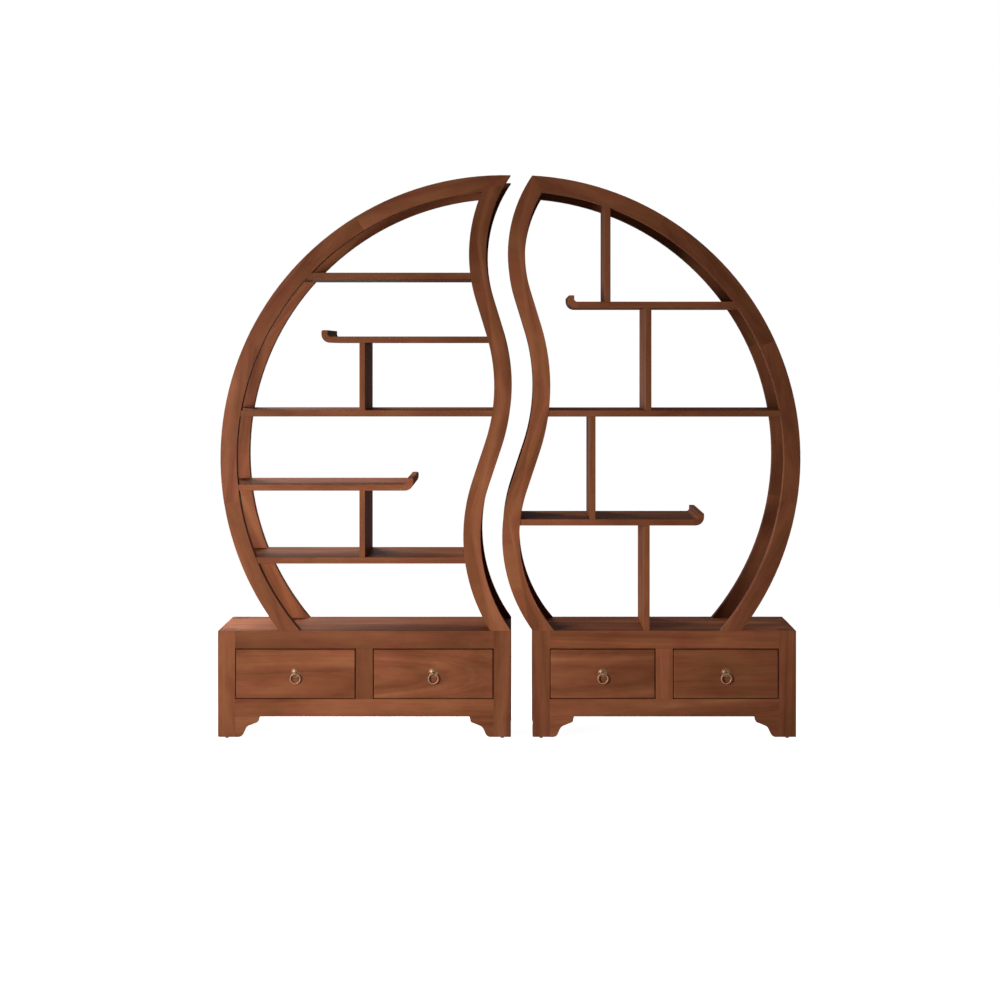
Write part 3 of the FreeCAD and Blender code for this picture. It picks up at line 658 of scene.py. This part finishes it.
def glide_tree():
    """Glides at the four corners of a rectangle."""
    tree, given = new_tree("leg_glides", {"Glide": "Object", "Middle": "Vector", "Width": "Float",
                                          "Depth": "Float", "Plastic": "Material"})
    feet = add(tree, "GeometryNodeMeshGrid", {"Size X": given["Width"], "Size Y": given["Depth"],
                                              "Vertices X": 2, "Vertices Y": 2})
    placed = add(tree, "GeometryNodeTransform", {"Geometry": feet.outputs[0],
                                                 "Translation": given["Middle"]})
    points = add(tree, "GeometryNodeMeshToPoints", {"Mesh": placed.outputs[0]})
    glide = add(tree, "GeometryNodeObjectInfo", {"Object": given["Glide"]})
    copies = add(tree, "GeometryNodeInstanceOnPoints", {"Points": points.outputs[0],
                                                        "Instance": glide.outputs["Geometry"]})
    real = add(tree, "GeometryNodeRealizeInstances", {"Geometry": copies.outputs[0]})
    plastic = add(tree, "GeometryNodeSetMaterial", {"Geometry": real.outputs[0],
                                                    "Material": given["Plastic"]})
    add(tree, "NodeGroupOutput", {0: plastic.outputs[0]})
    return tree


def grown(name, tree, values):
    """The mesh that a tree makes from values for its named inputs."""
    thing = bpy.data.objects.new(name, bpy.data.meshes.new(name))
    bpy.context.scene.collection.objects.link(thing)
    modifier = thing.modifiers.new(name, "NODES")
    modifier.node_group = tree
    for item in tree.interface.items_tree:
        if item.in_out == "INPUT" and item.name in values:
            modifier[item.identifier] = values[item.name]
    mesh = plain_mesh(thing)
    bpy.data.objects.remove(thing)
    return mesh


# The plate has a rolled rim, a hollow and a dome, and a post that swells into the drilled eye: pairs of
# a radius and a reach in millimetres, as in the glide's outline
PLATE = ((0, 0), (14.2, 0), (14.8, 0.3), (15, 0.9), (14.6, 1.7), (13.9, 2.0), (13.1, 1.8), (12.6, 1.5),
         (11.8, 1.7), (10.4, 2.5), (8.4, 3.4), (6.2, 4.0), (4.4, 4.2), (3.4, 4.3), (2.8, 4.7), (2.5, 5.4),
         (2.4, 6.2), (0, 6.4))
EYE_RADIUS, EYE_THICKNESS, HOLE_RADIUS = 4.5 * MM, 5 * MM, 2.4 * MM
EYE_REACH, EYE_DROP = 8 * MM, 3 * MM
# Faces round the eye and round its section, and how square the section is: 1 is round, 0 square
EYE_STEPS, SECTION_STEPS, SQUARENESS = 48, 16, 0.6
PLATE_STEPS, GLIDE_STEPS = 72, 40


def eye_mesh():
    """A drilled disc on edge, with rounded rims, that holds the ring."""
    half = EYE_THICKNESS / 2
    middle, reach = (EYE_RADIUS + HOLE_RADIUS) / 2, (EYE_RADIUS - HOLE_RADIUS) / 2
    profile = []
    for i in range(SECTION_STEPS):
        turn = 2 * math.pi * i / SECTION_STEPS
        out, aside = (math.copysign(abs(part) ** SQUARENESS, part)
                      for part in (math.cos(turn), math.sin(turn)))
        profile.append((out * reach + middle, aside * half))
    bm = bmesh.new()
    rings = []
    for i in range(EYE_STEPS):
        turn = 2 * math.pi * i / EYE_STEPS
        rings.append([bm.verts.new((x, r * math.cos(turn), r * math.sin(turn))) for r, x in profile])
    for a, b in zip(rings, rings[1:] + rings[:1]):
        for k in range(len(a)):
            m = (k + 1) % len(a)
            bm.faces.new((a[k], a[m], b[m], b[k]))
    return closed_mesh("eye", bm)


rings = ring_tree()
for number in range(1, 5):
    low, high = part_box(f"drawer_{number}_plate")
    seat = Vector(((low.x + high.x) / 2, high.y, (low.z + high.z) / 2))
    plate = turned("plate", [(r * MM, reach * MM) for r, reach in PLATE], PLATE_STEPS)
    plate.transform(Matrix.Translation(seat))
    eye = eye_mesh()
    eye.transform(Matrix.Translation(seat + Vector((0, -EYE_REACH, -EYE_DROP))))
    bm = bmesh.new()
    bm.from_mesh(plate)
    bm.from_mesh(eye)
    mesh = bpy.data.meshes.new(f"drawer_{number}_pull_plate")
    bm.to_mesh(mesh)
    bm.free()
    new_piece(f"drawer_{number}_pull_plate", evened(mesh), shaded_plate_brass, f"drawer_{number}_plate")
    low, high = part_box(f"drawer_{number}_ring")
    wire = (high.y - low.y) / 2
    mesh = grown("ring", rings, {"Ring radius": (high.x - low.x) / 2 - wire, "Wire radius": wire,
                                 "Middle": (low + high) / 2, "Metal": lit_ring_brass})
    new_piece(f"drawer_{number}_pull_ring", mesh, lit_ring_brass, f"drawer_{number}_ring")

# A nailed glide: a flange under the leg and a domed foot
GLIDE = ((0, 0), (3.2, 0.0), (4.8, 0.35), (5.7, 1.1), (6.0, 2.4), (6.0, 4.5), (5.8, 5.0), (0, 5.0))
glide_shape = turned("glide", [(r * MM, height * MM) for r, height in GLIDE], GLIDE_STEPS)
glide_shape.transform(Matrix.Rotation(-math.pi / 2, 4, "X"))
glide = bpy.data.objects.new("glide_shape", evened(glide_shape))
glides = glide_tree()
across = 2 * max(r for r, _ in GLIDE) * MM
for side in ("left", "right"):
    low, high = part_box(f"{side}_glides")
    mesh = grown("glides", glides, {
        "Glide": glide, "Middle": Vector(((low.x + high.x) / 2, (low.y + high.y) / 2, 0)),
        "Width": high.x - low.x - across, "Depth": high.y - low.y - across, "Plastic": nylon})
    new_piece(f"{side}_nailed_glides", mesh, nylon, f"{side}_glides")
bpy.data.objects.remove(glide)


# Floor, backdrop, light and camera

# How brightly the floor is seen, its paint, and how much light the room gives
FLOOR_GLOW, FLOOR_PAINT = 0.97, "#E8E6E3"
ROOM_LIGHT = 0.055
# How far the floor reaches, in metres
REACH = 30.0


def seen_rays(tree):
    """1 for rays that show the surroundings, straight or in a glossy or clear face, and else 0."""
    path = add(tree, "ShaderNodeLightPath").outputs
    seen = add(tree, "ShaderNodeMath", {0: path["Is Camera Ray"], 1: path["Is Glossy Ray"]},
               operation="ADD")
    return add(tree, "ShaderNodeMath", {0: seen.outputs[0], 1: path["Is Transmission Ray"]},
               operation="ADD", use_clamp=True).outputs[0]


def make_white(name, glow, albedo):
    """Plain white that the camera and glossy rays see lit evenly, and that still takes a shadow."""
    material, tree, output = new_material(name)
    paint = add(tree, "ShaderNodeBsdfDiffuse", {"Color": linear(albedo)})
    strength = add(tree, "ShaderNodeMath", {0: seen_rays(tree), 1: glow}, operation="MULTIPLY")
    light = add(tree, "ShaderNodeEmission", {"Color": linear("#FFFFFF"), "Strength": strength.outputs[0]})
    both = add(tree, "ShaderNodeAddShader", {0: paint.outputs[0], 1: light.outputs[0]})
    tree.links.new(both.outputs[0], output.inputs["Surface"])
    return material


def stage_plane(name, corners, material):
    """A flat piece of the surroundings."""
    mesh = bpy.data.meshes.new(name)
    mesh.from_pydata(corners, [], [tuple(range(len(corners)))])
    mesh.materials.append(material)
    plane = bpy.data.objects.new(name, mesh)
    bpy.context.scene.collection.objects.link(plane)


floor_white = make_white("floor_white_paint", FLOOR_GLOW, FLOOR_PAINT)
stage_plane("floor", [(-REACH, -REACH, 0), (REACH, -REACH, 0), (REACH, REACH, 0), (-REACH, REACH, 0)],
            floor_white)

world = bpy.data.worlds.new("studio")
bpy.context.scene.world = world
world.use_nodes = True
tree = world.node_tree
tree.nodes.clear()
room = add(tree, "ShaderNodeBackground", {"Color": linear("#FFFFFF"), "Strength": ROOM_LIGHT})
white = add(tree, "ShaderNodeBackground", {"Color": linear("#FFFFFF"), "Strength": 1.0})
both = add(tree, "ShaderNodeMixShader",
           {0: seen_rays(tree), 1: room.outputs[0], 2: white.outputs[0]})
add(tree, "ShaderNodeOutputWorld", {"Surface": both.outputs[0]})


def softbox(name, place, target, width, height, watts, spread):
    """A rectangular soft light that faces a target. Its grid lets light through within an angle."""
    lamp = bpy.data.lights.new(name, "AREA")
    lamp.shape = "RECTANGLE"
    lamp.size, lamp.size_y, lamp.energy, lamp.spread = width, height, watts, math.radians(spread)
    holder = bpy.data.objects.new(name, lamp)
    holder.location = place
    holder.rotation_euler = (Vector(target) - Vector(place)).to_track_quat("-Z", "Y").to_euler()
    bpy.context.scene.collection.objects.link(holder)


# Each lamp's place, target, width, height, watts and spread in degrees
SOFTBOXES = {
    "key_left": ((-2.05, -2.5, 0.96), (0.15, 0, 0.74), 0.7, 0.9, 20, 77),
    "top_back_left": ((-1.35, 1.75, 2.35), (-0.65, 0, 0.6), 1.0, 1.0, 10.5, 62),
    "low_back_left": ((-1.15, 3.3, 1.1), (-0.3, 0, 0.7), 1.2, 0.5, 11, 180),
    "side_right": ((3.0, 0, 0.95), (0.8, 0, 0.8), 0.24, 0.9, 8, 90),
    "base_end_left": ((-2.3, 0.9, 1.35), (-1.02, 0, 0.39), 0.2, 0.2, 0.75, 18),
}
for name, facts in SOFTBOXES.items():
    softbox(name, *facts)

# The camera looks level from 6.6 m in front, its frame shifted down and to the left
camera = bpy.data.cameras.new("camera")
camera.sensor_width = 36
camera.lens = 68.27
camera.shift_x, camera.shift_y = -0.0185, -0.1505
holder = bpy.data.objects.new("camera", camera)
holder.location = (0.0324, -6.7487, 1.3497)
holder.rotation_euler = (math.pi / 2, 0, 0)
bpy.context.scene.collection.objects.link(holder)
bpy.context.scene.camera = holder
bpy.context.scene.view_settings.view_transform = "Standard"
